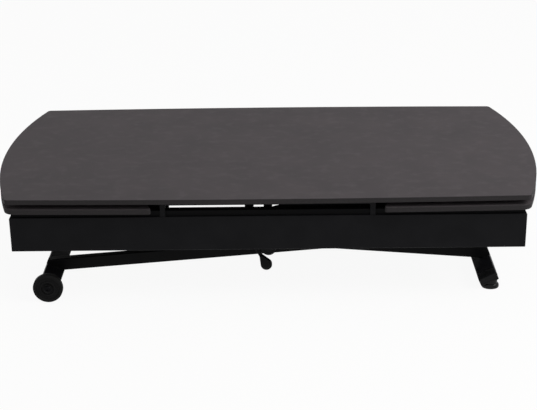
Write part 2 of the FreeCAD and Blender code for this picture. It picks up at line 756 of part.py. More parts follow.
def lever_grip():
    """Drop-shaped plastic grip pushed on the leaning end of the strap."""
    low = V(grip_x, lever_pivot_y - grip_thickness / 2, grip_z)
    rise = V(lever_x - grip_x, 0, lever_neck_z - grip_z).normalize()
    high = low + rise * grip_length
    step = V(0, grip_thickness, 0)
    body = rod(low, low + step, grip_radius).fuse(rod(high, high + step, grip_neck_radius))
    # The two flanks are the tangents that touch both rounds.
    lean = math.asin((grip_radius - grip_neck_radius) / grip_length)
    across = rise.cross(Y_AXIS)
    out = across * math.cos(lean) + rise * math.sin(lean)
    inn = across * -math.cos(lean) + rise * math.sin(lean)
    flank = [low + out * grip_radius, high + out * grip_neck_radius,
             high + inn * grip_neck_radius, low + inn * grip_radius]
    body = body.fuse(extruded(flank, step)).removeSplitter()
    rims = [e for e in body.Edges if e.BoundBox.YLength < 1e-3]
    return body.makeFillet(grip_edge_radius, rims).cut(release_lever())


def release_cable():
    """Sheathed cable from the lever to the release head, with a ferrule at each end."""
    start = V(lever_x, lever_pivot_y + lever_strap_thickness / 2 + ferrule_gap, spring_z)
    end = V(spring_tube_x, -(head_half_width + fork_gap + fork_plate), spring_z)
    bend = cable_bend
    mid = cable_middle_y
    quarter = bend * math.sqrt(0.5)
    first = V(lever_x + bend, mid - bend, spring_z)
    second = V(spring_tube_x - bend, mid + bend, spring_z)
    a, b = V(lever_x, mid - bend, spring_z), V(lever_x + bend, mid, spring_z)
    c, d = V(spring_tube_x - bend, mid, spring_z), V(spring_tube_x, mid + bend, spring_z)
    route = [Part.makeLine(start, a), Part.Arc(a, first + V(-quarter, quarter, 0), b).toShape(),
             Part.makeLine(b, c), Part.Arc(c, second + V(quarter, -quarter, 0), d).toShape(),
             Part.makeLine(d, end)]
    section = Part.Wire(Part.makeCircle(cable_radius, start, Y_AXIS))
    sheath = Part.Wire(route).makePipeShell([section], True, False)
    sheath = sheath.fuse(rod(start, start + Y_AXIS * ferrule_length, ferrule_radius))
    return sheath.fuse(rod(end - Y_AXIS * ferrule_length, end, ferrule_radius)).removeSplitter()


def build():
    """Every piece of the table, by node name."""
    parts = {"main_top": main_top()}
    parts["top_bearer_left"] = top_bearer(-bearer_x)
    parts["top_bearer_right"] = top_bearer(bearer_x)

    parts["apron_front"] = apron(frame_length, half_frame_depth, 0)
    parts["apron_right"] = apron(frame_depth, half_frame, 90)
    parts["apron_rear"] = apron(frame_length, half_frame_depth, 180)
    parts["apron_left"] = apron(frame_depth, half_frame, 270)
    parts["centre_tube_left"] = cross_tube(left_centre_tube_x, centre_tube_width, frame_top)
    parts["centre_tube_right"] = cross_tube(right_centre_tube_x, centre_tube_width, frame_top)
    parts["spring_cross_tube"] = cross_tube(spring_tube_x, centre_tube_width, frame_top)
    pivot_tube_top = pivot_z + arm_overhang + arm_height / 2 + cross_tube_height
    parts["pivot_cross_tube"] = cross_tube(pivot_x, pivot_tube_width, pivot_tube_top)
    track_top = pivot_z + roller_radius + roller_gap + track_wall
    parts["track_cross_tube"] = cross_tube(track_tube_x, centre_tube_width, track_top + cross_tube_height)

    guide_end = half_frame - guide_end_inset
    half_gap = guide_joint_gap / 2
    front_left = leaf_guide(-guide_end, guide_joint_x - half_gap, -guide_y, 1)
    front_right = leaf_guide(guide_joint_x + half_gap, guide_end, -guide_y, 1)
    parts["guide_left_front"], parts["guide_left_rear"] = both_sides(front_left)
    parts["guide_right_front"], parts["guide_right_rear"] = both_sides(front_right)

    left_run = (-runner_outer_x, -runner_inner_x)
    right_run = (runner_inner_x, runner_outer_x)
    left_runner = leaf_runner(left_run, (-runner_outer_x, -left_head_x), -guide_y, 1)
    right_runner = leaf_runner(right_run, right_run, -guide_y, 1)
    parts["leaf_left"] = left_leaf()
    parts["leaf_right"] = at_wheel_end(parts["leaf_left"])
    parts["runner_left_front"], parts["runner_left_rear"] = both_sides(left_runner)
    parts["runner_right_front"], parts["runner_right_rear"] = both_sides(right_runner)

    parts["roller_track_front"], parts["roller_track_rear"] = both_sides(roller_track())
    wheel_bar_top = bar_height / 2
    parts["wheel_arm_front"] = at_wheel_end(scissor_arm(-wheel_arm_y, wheel_bar_top))
    parts["wheel_arm_rear"] = at_wheel_end(scissor_arm(wheel_arm_y, wheel_bar_top))
    parts["wheel_bar"] = at_wheel_end(floor_bar(wheel_bar_length, 0))
    parts["foot_arm_front"] = scissor_arm(-foot_arm_y, 0)
    parts["foot_arm_rear"] = scissor_arm(foot_arm_y, 0)
    parts["foot_bar"] = floor_bar(2 * foot_bar_end, -bar_height / 2)
    parts["foot_front"], parts["foot_rear"] = both_sides(shoe())

    for name, side in (("front", -1), ("rear", 1)):
        parts[f"wheel_{name}"] = wheel(side)
        parts[f"roller_{name}"] = roller(side)
    pairs = {"top_rails": top_rail, "pivot_brackets": pivot_bracket, "pivot_bolts": pivot_bolt,
             "centre_bolts": centre_bolt, "centre_spacers": centre_spacer, "roller_axles": roller_axle,
             "wheel_axles": wheel_axle, "wheel_bar_plugs": wheel_bar_plug, "foot_pins": foot_pin,
             "foot_bar_plugs": foot_bar_plug, "spring_lugs": lug_plate,
             "wheel_arm_caps": wheel_arm_cap, "foot_arm_caps": foot_arm_cap}
    for name, make in pairs.items():
        parts[name] = Part.makeCompound([make(-1), make(1)])

    parts["wheel_arm_tube"] = wheel_arm_tube()
    parts["lug_pin"] = lug_pin()
    parts["spring_rod"] = spring_rod()
    parts["spring_cylinder"] = spring_cylinder()
    parts["spring_bracket"] = spring_bracket()
    parts["spring_pin"] = spring_pin()
    parts["lever_bracket"] = lever_bracket()
    parts["lever_pin"] = lever_pin()
    parts["release_lever"] = release_lever()
    parts["lever_grip"] = lever_grip()
    parts["release_cable"] = release_cable()
    return parts


def write(parts):
    """One file for each piece, and a line of sizes that the joints need."""
    os.makedirs("parts", exist_ok=True)
    for name, shape in parts.items():
        shape.exportStep(f"parts/{name}.step")
        if not shape.isValid():
            print("not valid:", name)
    upper, lower, axis = spring_axis()
    print(f"lift angle {lift_angle:.3f} deg, roller travel {roller_travel:.1f} mm")
    print(f"foot pin at {foot_x:.3f}, {foot_z:.3f}")
    print(f"spring from {upper} to {lower}, length {(lower - upper).Length:.2f}")
    print(len(parts), "nodes")


write(build())
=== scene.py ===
import json
import logging
import math
from dataclasses import dataclass, field
from enum import Enum
from functools import cache
from typing import Any, Iterable, Optional, Sequence

import bmesh
import bpy
from mathutils import Matrix, Vector


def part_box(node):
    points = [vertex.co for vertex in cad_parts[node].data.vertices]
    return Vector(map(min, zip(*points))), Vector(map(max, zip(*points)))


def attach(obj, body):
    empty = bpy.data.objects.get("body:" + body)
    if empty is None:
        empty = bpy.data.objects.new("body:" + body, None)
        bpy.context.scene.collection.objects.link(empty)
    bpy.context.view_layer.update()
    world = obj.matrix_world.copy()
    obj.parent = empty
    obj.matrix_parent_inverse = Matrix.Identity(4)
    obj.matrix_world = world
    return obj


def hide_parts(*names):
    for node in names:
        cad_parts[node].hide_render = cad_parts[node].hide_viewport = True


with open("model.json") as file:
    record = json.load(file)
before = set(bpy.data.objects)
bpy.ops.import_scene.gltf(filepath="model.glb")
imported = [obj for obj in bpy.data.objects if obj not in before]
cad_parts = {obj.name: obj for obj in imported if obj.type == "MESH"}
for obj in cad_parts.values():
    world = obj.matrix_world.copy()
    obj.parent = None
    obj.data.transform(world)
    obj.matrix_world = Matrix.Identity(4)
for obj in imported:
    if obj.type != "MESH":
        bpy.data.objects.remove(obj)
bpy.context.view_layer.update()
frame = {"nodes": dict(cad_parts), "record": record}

LOG = logging.getLogger("coffee_table")
JOINTS = {joint["name"]: joint for joint in frame["record"]["behaviour"]["joints"]}
AXIS_X = Vector((1.0, 0.0, 0.0))
AXIS_Y = Vector((0.0, 1.0, 0.0))
AXIS_Z = Vector((0.0, 0.0, 1.0))
WHITE = (1.0, 1.0, 1.0, 1.0)
# Millimetres in a metre.
MM = 1000.0
# Points closer than this, in metres, are one point.
NEAR = 1e-6
# Edges sharper than this stay sharp on a smoothly shaded piece.
CREASE = math.radians(32.0)
# Rounding of a hexagon's corners, as a share of its height.
HEX_EASE = 0.18
# A Mix node's colour inputs and its colour output have no names of their own.
MIX_START, MIX_END, MIX_RESULT = 6, 7, 2
# The two floor bars: tilt, and half their width and height in millimetres.
BAR_TILT = math.radians(25.0)
BAR_HALF_WIDTH = 22.5
BAR_HALF_HEIGHT = 12.5

Pair = tuple[float, float]
Triple = tuple[float, float, float]
Section = Sequence[Pair]
Tree = bpy.types.NodeTree
Socket = bpy.types.NodeSocket


class Body(str, Enum):
    """The rigid bodies that pieces ride on."""

    FEET = "feet"
    FRAME = "frame"
    LEAF_LEFT = "leaf_left"
    LEAF_RIGHT = "leaf_right"
    WHEEL_ARMS = "wheel_arms"
    FOOT_ARMS = "foot_arms"
    WHEEL_FRONT = "wheel_front"
    WHEEL_REAR = "wheel_rear"
    LEVER = "release_lever"
    CYLINDER = "spring_cylinder"


class Side(Enum):
    """The two long sides of the table, as the sign of Y."""

    FRONT = -1
    REAR = 1

    def named(self, stem: str) -> str:
        """Name of the one of two like pieces that lies on this side."""
        return f"{stem}_{self.name.lower()}"

    def reach(self, node: str) -> Pair:
        """Inner and outer Y of a node that lies on this side, in metres."""
        low, high = span(node)
        return (high.y, low.y) if self is Side.FRONT else (low.y, high.y)


def mm(value: float) -> float:
    """Millimetres as metres."""
    return value / MM


def span(node: str) -> tuple[Vector, Vector]:
    """Lowest and highest corner of a CAD node, in metres."""
    low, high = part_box(node)
    return Vector(low), Vector(high)


def middle(node: str) -> Vector:
    """Middle of a CAD node's box, in metres."""
    low, high = span(node)
    return (low + high) / 2.0


def pivot(joint: str) -> Vector:
    """A point on a hinge's axis, in metres."""
    return Vector(JOINTS[joint]["pos_m"])


def bar_directions(way: int) -> tuple[Vector, Vector]:
    """Unit directions along and square to a floor bar's upper face; way is 1 at the foot end, else -1."""
    across, up = math.cos(BAR_TILT), math.sin(BAR_TILT)
    return Vector((way * across, 0.0, up)), Vector((-way * up, 0.0, across))


def linear(code: str) -> tuple[float, float, float, float]:
    """An sRGB hex colour as linear red, green, blue and an alpha of 1."""
    parts = [int(code[i:i + 2], 16) / 255.0 for i in (1, 3, 5)]
    return (*(c / 12.92 if c <= 0.04045 else ((c + 0.055) / 1.055) ** 2.4 for c in parts), 1.0)


def placed(name: str, data: Any) -> bpy.types.Object:
    """Put a mesh, a lamp or a camera in the scene.

    Args:
        name: the object's name.
        data: what the object shows.

    Returns:
        The new object.
    """
    made = bpy.data.objects.new(name, data)
    bpy.context.scene.collection.objects.link(made)
    return made


def cleared(owner: Any) -> Tree:
    """Give a material or a world an empty node tree.

    Args:
        owner: the material or world.

    Returns:
        The tree.
    """
    owner.use_nodes = True
    owner.node_tree.nodes.clear()
    return owner.node_tree


def add_node(tree: Tree, kind: str, settings: Optional[dict[Any, Any]] = None,
             links: Optional[dict[Any, Any]] = None) -> bpy.types.Node:
    """Add one node with its settings and links.

    Args:
        tree: the material's or world's node tree.
        kind: the node's type name.
        settings: values by property name, or by input name or number.
        links: sockets, or nodes for their first one, to link from, by input name or number.

    Returns:
        The new node.
    """
    node = tree.nodes.new(kind)
    for key, value in (settings or {}).items():
        if isinstance(key, str) and key not in node.inputs:
            setattr(node, key, value)
        else:
            node.inputs[key].default_value = value
    for key, source in (links or {}).items():
        tree.links.new(source if isinstance(source, Socket) else source.outputs[0], node.inputs[key])
    return node


@dataclass(frozen=True)
class Finish:
    """A painted, moulded or plated surface: mottled colour, uneven gloss and fine relief."""

    name: str
    colour: str
    shade: str
    roughness: float
    gloss_swing: float = 0.06
    metallic: float = 0.0
    specular: float = 0.5
    patch_mm: float = 40.0
    patch_band: Pair = (0.3, 0.7)
    grain_mm: float = 1.2
    relief_mm: float = 0.02
    stretch: Triple = (1.0, 1.0, 1.0)

    def noise(self, tree: Tree, size_mm: float, detail: float, stretch: Optional[Triple] = None) -> Socket:
        """Noise whose blotches are about a given size.

        Args:
            tree: the material's node tree.
            size_mm: width of a blotch in millimetres.
            detail: how many finer layers lie on it.
            stretch: scale of the pattern along X, Y and Z.

        Returns:
            The noise's value socket.
        """
        place = add_node(tree, "ShaderNodeTexCoord")
        turned = add_node(tree, "ShaderNodeMapping", {"Scale": stretch or self.stretch},
                          {"Vector": place.outputs["Object"]})
        blotches = add_node(tree, "ShaderNodeTexNoise", {"Scale": 1.0 / mm(size_mm), "Detail": detail},
                            {"Vector": turned})
        return blotches.outputs["Fac"]

    def blend(self, tree: Tree, factor: Socket, band: Pair, start: Any, end: Any) -> Socket:
        """Go from one colour to another as a factor crosses a band.

        Args:
            tree: the material's node tree.
            factor: socket that drives the mix.
            band: factors at which the mix begins and ends.
            start: colour, or socket that gives one.
            end: colour, or socket that gives one.

        Returns:
            The mixed colour's socket.
        """
        share = add_node(tree, "ShaderNodeMapRange", {"From Min": band[0], "From Max": band[1]},
                         {"Value": factor})
        settings: dict[Any, Any] = {"data_type": "RGBA"}
        links: dict[Any, Any] = {0: share}
        for slot, tone in ((MIX_START, start), (MIX_END, end)):
            (links if isinstance(tone, Socket) else settings)[slot] = tone
        return add_node(tree, "ShaderNodeMix", settings, links).outputs[MIX_RESULT]

    def base(self, tree: Tree) -> Socket:
        """Socket of the surface's mottled colour."""
        blotch = self.noise(tree, self.patch_mm, detail=4.0)
        return self.blend(tree, blotch, self.patch_band, linear(self.shade), linear(self.colour))

    @cache
    def material(self) -> bpy.types.Material:
        """Make the material, once for all pieces that take it.

        Returns:
            The material with its node tree.
        """
        made = bpy.data.materials.new(self.name)
        tree = cleared(made)
        grain = self.noise(tree, self.grain_mm, detail=2.0)
        gloss = add_node(tree, "ShaderNodeMapRange",
                         {"To Min": self.roughness - self.gloss_swing,
                          "To Max": self.roughness + self.gloss_swing},
                         {"Value": self.noise(tree, self.patch_mm / 2, detail=3.0)})
        relief = add_node(tree, "ShaderNodeBump", {"Strength": 1.0, "Distance": mm(self.relief_mm)},
                          {"Height": grain})
        shader = add_node(tree, "ShaderNodeBsdfPrincipled",
                          {"Metallic": self.metallic, "Specular IOR Level": self.specular},
                          {"Base Color": self.base(tree), "Roughness": gloss, "Normal": relief})
        add_node(tree, "ShaderNodeOutputMaterial", None, {"Surface": shader})
        return made


@dataclass(frozen=True)
class SlateBoard(Finish):
    """Board faced with a stone print; its upright edges take a darker colour, painted shade."""

    vein: str = "#565153"
    drift_mm: float = 24.0
    drift_band: Pair = (0.5, 0.85)
    drift_stretch: Triple = (0.8, 1.0, 1.0)
    fleck_mm: float = 2.4
    fleck_band: Pair = (0.6, 0.95)
    # Darker colours for the upright edges, and the band over which they give way to the face: painted shade.
    edge: str = "#353334"
    edge_painted_shade_dark: str = "#2e2c2d"
    edge_painted_shade_band: Pair = (0.8, 0.97)

    def base(self, tree: Tree) -> Socket:
        """Broad clouds, paler drifts and small flecks on the face; on the upright edges a plainer, darker
        colour, painted shade.

        Args:
            tree: the material's node tree.

        Returns:
            The colour's socket.
        """
        clouds = super().base(tree)
        drift = self.noise(tree, self.drift_mm, detail=6.0, stretch=self.drift_stretch)
        drifted = self.blend(tree, drift, self.drift_band, clouds, linear(self.vein))
        fleck = self.noise(tree, self.fleck_mm, detail=2.0)
        face = self.blend(tree, fleck, self.fleck_band, drifted, linear(self.vein))
        # Faces that stand upright, told by their normal, take the darker colour: painted shade on the edges.
        facing = add_node(tree, "ShaderNodeTexCoord")
        up = add_node(tree, "ShaderNodeSeparateXYZ", None, {"Vector": facing.outputs["Normal"]})
        level = add_node(tree, "ShaderNodeMath", {"operation": "ABSOLUTE"}, {0: up.outputs["Z"]})
        # The strip colour is painted shade, mottled by the flecks.
        strip = self.blend(tree, fleck, self.patch_band, linear(self.edge_painted_shade_dark), linear(self.edge))
        return self.blend(tree, level.outputs["Value"], self.edge_painted_shade_band, strip, face)


# Melamine board pressed with a matt stone relief: warm dark grey, faintly clouded; its upright edges are
# painted darker as shade.
SLATE = SlateBoard("stone_melamine_board", "#4f4a4c", "#494547", 0.6, specular=0.05, patch_mm=80.0,
                   grain_mm=1.6, relief_mm=0.03)
# Powder coat on steel: deep satin black with a slight orange peel.
POWDER = Finish("black_powder_coat", "#161618", "#111113", 0.44, specular=0.07, patch_mm=55.0, grain_mm=1.4)
# The same coat on the scissor's rolled tubes, a little duller, and darker as painted shade.
ARM_COAT_PAINTED_SHADE = Finish("black_arm_coat_painted_shade", "#0f0f10", "#0b0b0c", 0.46, specular=0.06)
# The same coat on the two floor bars, made a little paler as painted light.
BAR_COAT_PAINTED_LIGHT = Finish("black_bar_coat_painted_light", "#1d1d20", "#18181a", 0.44, specular=0.1)
# Anodised aluminium slides: flat black, made darker still as painted shade in the gap under the boards, with
# fine drawing lines along their length.
SLIDE_WITH_PAINTED_SHADE = Finish("black_anodised_slide_with_painted_shade", "#0c0c0d", "#080809", 0.55, specular=0.05, patch_mm=30.0, grain_mm=0.8,
               relief_mm=0.015, stretch=(0.05, 1.0, 1.0))
# Injection-moulded nylon: spark-eroded texture, matt and almost black.
NYLON_BLACK = Finish("black_moulded_nylon", "#161617", "#101011", 0.6, specular=0.12, patch_mm=12.0,
                     grain_mm=0.7, relief_mm=0.03)
# Cast polyurethane tread: dull, rubbed a little paler where it rolls.
TREAD = Finish("black_polyurethane_tread", "#141414", "#0e0e0e", 0.62, specular=0.1, patch_mm=9.0,
               grain_mm=0.9, relief_mm=0.04)
# Weld seams under the powder coat: the same black over coarse ripples.
WELD = Finish("painted_weld_seam", "#161617", "#0e0e0f", 0.4, specular=0.12, patch_mm=6.0, grain_mm=2.4,
              relief_mm=0.25)
# Natural nylon of the rollers: waxy off-white.
NYLON_WHITE = Finish("natural_nylon", "#cfc8b8", "#bdb5a2", 0.42, patch_mm=10.0, grain_mm=0.9,
                     relief_mm=0.015)
# Zinc-plated steel: pale grey, uneven and slightly blue.
ZINC = Finish("zinc_plated_steel", "#b9bcc2", "#9da1a8", 0.36, metallic=1.0, patch_mm=5.0, grain_mm=0.5,
              relief_mm=0.008)
# Blackened steel of the wheel bolts: dark, with a dull metal gleam.
BLACKENED = Finish("blackened_steel", "#171718", "#101011", 0.45, metallic=1.0, patch_mm=4.0, grain_mm=0.5,
                   relief_mm=0.008)
# Hard chrome on a ground rod: bright, with a faint unevenness left by grinding.
CHROME = Finish("hard_chrome", "#d9dadd", "#cfd0d4", 0.14, gloss_swing=0.03, metallic=1.0, patch_mm=20.0,
                grain_mm=0.6, relief_mm=0.003)
# Polished ABS of the grip's two domes: black, with soft reflections of the room.
GLOSS = Finish("black_polished_abs", "#0b0b0c", "#080809", 0.2, gloss_swing=0.03, specular=0.07, patch_mm=6.0,
               grain_mm=1.0, relief_mm=0.008)
# Nylon of the feet's round glides, moulded in a polished tool: black, with a clear highlight on its rim.
GLIDE = Finish("polished_black_nylon", "#0e0e0f", "#0a0a0b", 0.11, gloss_swing=0.03, specular=0.15,
               patch_mm=7.0, grain_mm=1.0, relief_mm=0.006)
# Soft vinyl: the lever's grip, the cable's sheath and the rod's wiper, slightly glossy black.
VINYL = Finish("black_soft_vinyl", "#0c0c0d", "#080809", 0.42, specular=0.07, patch_mm=8.0, grain_mm=0.9)


def dress(finish: Finish, *names: str) -> None:
    """Give CAD nodes a finish.

    Args:
        finish: the surface.
        names: node names.
    """
    for name in names:
        for slot in frame["nodes"][name].material_slots:
            slot.material = finish.material()
        LOG.info("dressed %s in %s", name, finish.name)


@dataclass
class Form:
    """A piece in the making: shapes added to one mesh, in metres, in the table's frame."""

    bm: bmesh.types.BMesh = field(default_factory=bmesh.new)

    def ease(self, edges: Iterable[bmesh.types.BMEdge], width: float, flats: int = 2) -> None:
        """Round edges over a width in millimetres."""
        bmesh.ops.bevel(self.bm, geom=list(edges), offset=mm(width), offset_type="OFFSET", segments=flats,
                        profile=0.5, affect="EDGES", material=-1)

    def lathe(self, section: Section, centre: Vector, axis: Vector, flats: int = 48,
              closed: bool = False) -> None:
        """Add a turned shape.

        Args:
            section: (radius, distance along the axis) in millimetres.
            centre: point on the axis, in metres.
            axis: unit direction of the axis.
            flats: flats round the shape.
            closed: whether the section's end joins its start.
        """
        out = axis.orthogonal().normalized()
        verts = [self.bm.verts.new(centre + out * mm(r) + axis * mm(d)) for r, d in section]
        ends = verts[1:] + verts[:1] if closed else verts[1:]
        edges = [self.bm.edges.new(pair) for pair in zip(verts, ends)]
        bmesh.ops.spin(self.bm, geom=verts + edges, cent=centre, axis=axis, angle=2 * math.pi, steps=flats,
                       use_merge=True)

    def hex_head(self, seat: Vector, axis: Vector, across: float, height: float) -> None:
        """Add a six-sided bolt head with eased corners.

        Args:
            seat: middle of the face that bears, in metres.
            axis: unit direction from the seat outwards.
            across: width over the flats in millimetres.
            height: height in millimetres.
        """
        radius = mm(across) / math.sqrt(3.0)
        turn = AXIS_Z.rotation_difference(axis).to_matrix().to_4x4()
        place = Matrix.Translation(seat + axis * mm(height) / 2) @ turn
        made = bmesh.ops.create_cone(self.bm, cap_ends=True, segments=6, radius1=radius, radius2=radius,
                                     depth=mm(height), matrix=place)
        tip = seat + axis * mm(height)
        edges = dict.fromkeys(e for v in made["verts"] for e in v.link_edges)
        rim = [e for e in edges if all(abs((v.co - tip).dot(axis)) < NEAR for v in e.verts)]
        self.ease(rim, height * HEX_EASE)

    def block(self, centre: Vector, along: Vector, sizes: Triple, ease: float) -> None:
        """Add a block with eased edges.

        Args:
            centre: its middle, in metres.
            along: unit direction of its length.
            sizes: length, width and height in millimetres.
            ease: rounding of its edges in millimetres.
        """
        turn = AXIS_X.rotation_difference(along).to_matrix().to_4x4()
        size = Matrix.Diagonal((*(mm(side) for side in sizes), 1.0))
        made = bmesh.ops.create_cube(self.bm, size=1.0, matrix=Matrix.Translation(centre) @ turn @ size)
        self.ease(dict.fromkeys(e for v in made["verts"] for e in v.link_edges), ease)

    def slab(self, corners: Sequence[Vector], depth: float) -> list[bmesh.types.BMEdge]:
        """Add a plate: an outline pushed straight along Y.

        Args:
            corners: the outline's corners in order, in metres.
            depth: how far it is pushed, in metres.

        Returns:
            The edges round the plate's two faces.
        """
        before = set(self.bm.edges)
        start = self.bm.faces.new([self.bm.verts.new(corner) for corner in corners])
        made = bmesh.ops.extrude_face_region(self.bm, geom=[start], use_keep_orig=True)["geom"]
        moved = [part for part in made if isinstance(part, bmesh.types.BMVert)]
        bmesh.ops.translate(self.bm, verts=moved, vec=AXIS_Y * depth)
        bmesh.ops.recalc_face_normals(self.bm, faces=self.bm.faces)
        added = [e for e in self.bm.edges if e not in before]
        return [e for e in added if abs(e.verts[0].co.y - e.verts[1].co.y) < NEAR]

    def finish(self, name: str, surface: Finish, slot: str, body: Body, *stands_for: str) -> None:
        """Make the piece and let it ride on its body.

        Args:
            name: the piece's name.
            surface: its finish.
            slot: the record's material slot it belongs to; not used.
            body: the body it rides on.
            stands_for: CAD nodes that it replaces.
        """
        bmesh.ops.remove_doubles(self.bm, verts=self.bm.verts, dist=NEAR)
        bmesh.ops.recalc_face_normals(self.bm, faces=self.bm.faces)
        mesh = bpy.data.meshes.new(name)
        self.bm.to_mesh(mesh)
        self.bm.free()
        mesh.shade_smooth()
        mesh.set_sharp_from_angle(angle=CREASE)
        mesh.materials.append(surface.material())
        piece = placed(name, mesh)
        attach(piece, body.value)
        if stands_for:
            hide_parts(*stands_for)
        LOG.info("built %s on %s", name, body.value)


@dataclass
class WeldBeads(Form):
    """Weld seams: rows of ripples, half sunk in the metal."""

    radius: float = 2.0
    ripple: float = 2.6
    swell: float = 0.3
    crest: float = 0.35
    trough: float = 0.9
    nose: float = 0.3
    nose_radius: float = 1.4
    flats: int = 10

    def run(self, start: Sequence[float], end: Sequence[float], bare: float = 1.0) -> None:
        """Lay a straight bead.

        Args:
            start: where the seam begins, in metres.
            end: where it ends, in metres.
            bare: seam left bare at both ends beyond the bead's radius, in millimetres.
        """
        seam = Vector(end) - Vector(start)
        axis = seam.normalized()
        skip = self.radius + bare
        length = seam.length * MM - 2 * skip
        count = max(2, round(length / self.ripple))
        step = length / count
        section = [(0.0, 0.0), (self.nose_radius, self.nose)]
        for number in range(count):
            section += [(self.radius + self.swell, (number + self.crest) * step),
                        (self.radius, (number + self.trough) * step)]
        section += [(self.nose_radius, length + self.nose), (0.0, length + 2 * self.nose)]
        self.lathe(section, Vector(start) + axis * mm(skip), axis, self.flats)

    def ring(self, centre: Vector, axis: Vector, pipe_radius: float) -> None:
        """Lay a bead round a pipe, whose radius is in millimetres, where it meets a plate."""
        turns = [2 * math.pi * number / self.flats for number in range(self.flats)]
        self.lathe([(pipe_radius + self.radius * math.cos(a), self.radius * math.sin(a)) for a in turns],
                   centre, axis, closed=True)

    def cross_tube(self, node: str) -> None:
        """Weld both ends of a cross tube along its two flanks and its underside.

        Args:
            node: the cross tube's node.
        """
        low, high = span(node)
        for y in (low.y, high.y):
            for x in (low.x, high.x):
                self.run((x, y, low.z), (x, y, high.z))
            self.run((low.x, y, low.z), (high.x, y, low.z))


class SubAssembly:
    """A group of pieces that is dressed and given its fine detail together."""

    def dress(self) -> None:
        """Give the group's CAD nodes their finishes."""

    def build(self) -> None:
        """Add the group's detail pieces."""


@dataclass
class TableTop(SubAssembly):
    """The top, its two leaves, and the strips and screws that hold the top."""

    rail_width: float = 30.0
    screw_columns: tuple[float, ...] = (-205.0, -70.0, 70.0, 205.0)
    screw_hex: Pair = (7.0, 3.2)
    flange: Section = ((0.0, 0.0), (6.5, 0.0), (6.2, 0.8), (0.0, 0.8))
    flange_height: float = 0.8
    tie_thickness: float = 3.0
    tie_height: float = 11.0
    tie_ease: float = 0.4

    def dress(self) -> None:
        """Face the boards with stone print."""
        dress(SLATE, "main_top", "leaf_left", "leaf_right")

    def tie_strips(self) -> None:
        """Join the two bearers with a flat strip on edge along each long side."""
        form = Form()
        left, right = span("top_bearer_left"), span("top_bearer_right")
        sizes = ((right[0].x - left[1].x) * MM, self.tie_thickness, self.tie_height)
        for side in Side:
            centre = Vector((0.0, side.value * (left[1].y - mm(self.tie_thickness / 2)),
                             left[1].z - mm(self.tie_height / 2)))
            form.block(centre, AXIS_X, sizes, self.tie_ease)
        form.finish("top_tie_strips", POWDER, "black_frame_steel", Body.FRAME)

    def rail_screws(self) -> None:
        """Screw the rails to the underside of the top, between the stored leaves."""
        form = Form()
        low, high = span("top_rails")
        inset = mm(self.rail_width / 2)
        for y in (low.y + inset, high.y - inset):
            for x in self.screw_columns:
                seat = Vector((mm(x), y, low.z))
                form.lathe(self.flange, seat, -AXIS_Z, flats=24)
                form.hex_head(seat - AXIS_Z * mm(self.flange_height), -AXIS_Z, *self.screw_hex)
        form.finish("top_rail_screws", ZINC, "zinc_bolt_steel", Body.FRAME)

    def build(self) -> None:
        """Add what holds the top from below."""
        self.tie_strips()
        self.rail_screws()


@dataclass
class ApronFrame(SubAssembly):
    """The apron, its cross tubes and what carries the top."""

    cross_tubes: tuple[str, ...] = ("centre_tube_left", "centre_tube_right", "spring_cross_tube",
                                    "pivot_cross_tube", "track_cross_tube")
    corner_bare: float = 2.0
    beads: WeldBeads = field(default_factory=WeldBeads)

    def dress(self) -> None:
        """Powder-coat the frame's steel."""
        dress(POWDER, "apron_front", "apron_rear", "apron_left", "apron_right", *self.cross_tubes)
        dress(POWDER, "pivot_brackets", "spring_bracket", "lever_bracket", "top_bearer_left",
              "top_bearer_right", "top_rails", "roller_track_front", "roller_track_rear")

    def corner_welds(self) -> None:
        """Weld the apron's four inner corners from top to bottom."""
        inner_x = span("apron_right")[0].x
        inner_y = span("apron_rear")[0].y
        low, high = span("apron_front")
        for x in (-inner_x, inner_x):
            for y in (-inner_y, inner_y):
                self.beads.run((x, y, low.z), (x, y, high.z), self.corner_bare)

    def bracket_welds(self) -> None:
        """Weld the brackets along their outer faces."""
        for node in ("pivot_brackets", "spring_bracket"):
            low, high = span(node)
            for y in (low.y, high.y):
                self.beads.run((low.x, y, high.z), (high.x, y, high.z), bare=0.0)
        low, high = span("lever_bracket")
        for z in (low.z, high.z):
            self.beads.run((low.x, low.y, z), (high.x, low.y, z), bare=0.0)

    def track_welds(self) -> None:
        """Weld each roller track to its cross tube and to the apron's end."""
        tube_x = span("track_cross_tube")[0].x
        for side in Side:
            low, high = span(side.named("roller_track"))
            for x, z in ((tube_x, high.z), (low.x, high.z), (low.x, low.z)):
                self.beads.run((x, low.y, z), (x, high.y, z), bare=0.0)

    def build(self) -> None:
        """Lay the frame's weld beads."""
        for node in self.cross_tubes:
            self.beads.cross_tube(node)
        self.corner_welds()
        self.bracket_welds()
        self.track_welds()
        self.beads.finish("frame_weld_beads", WELD, "black_frame_steel", Body.FRAME)


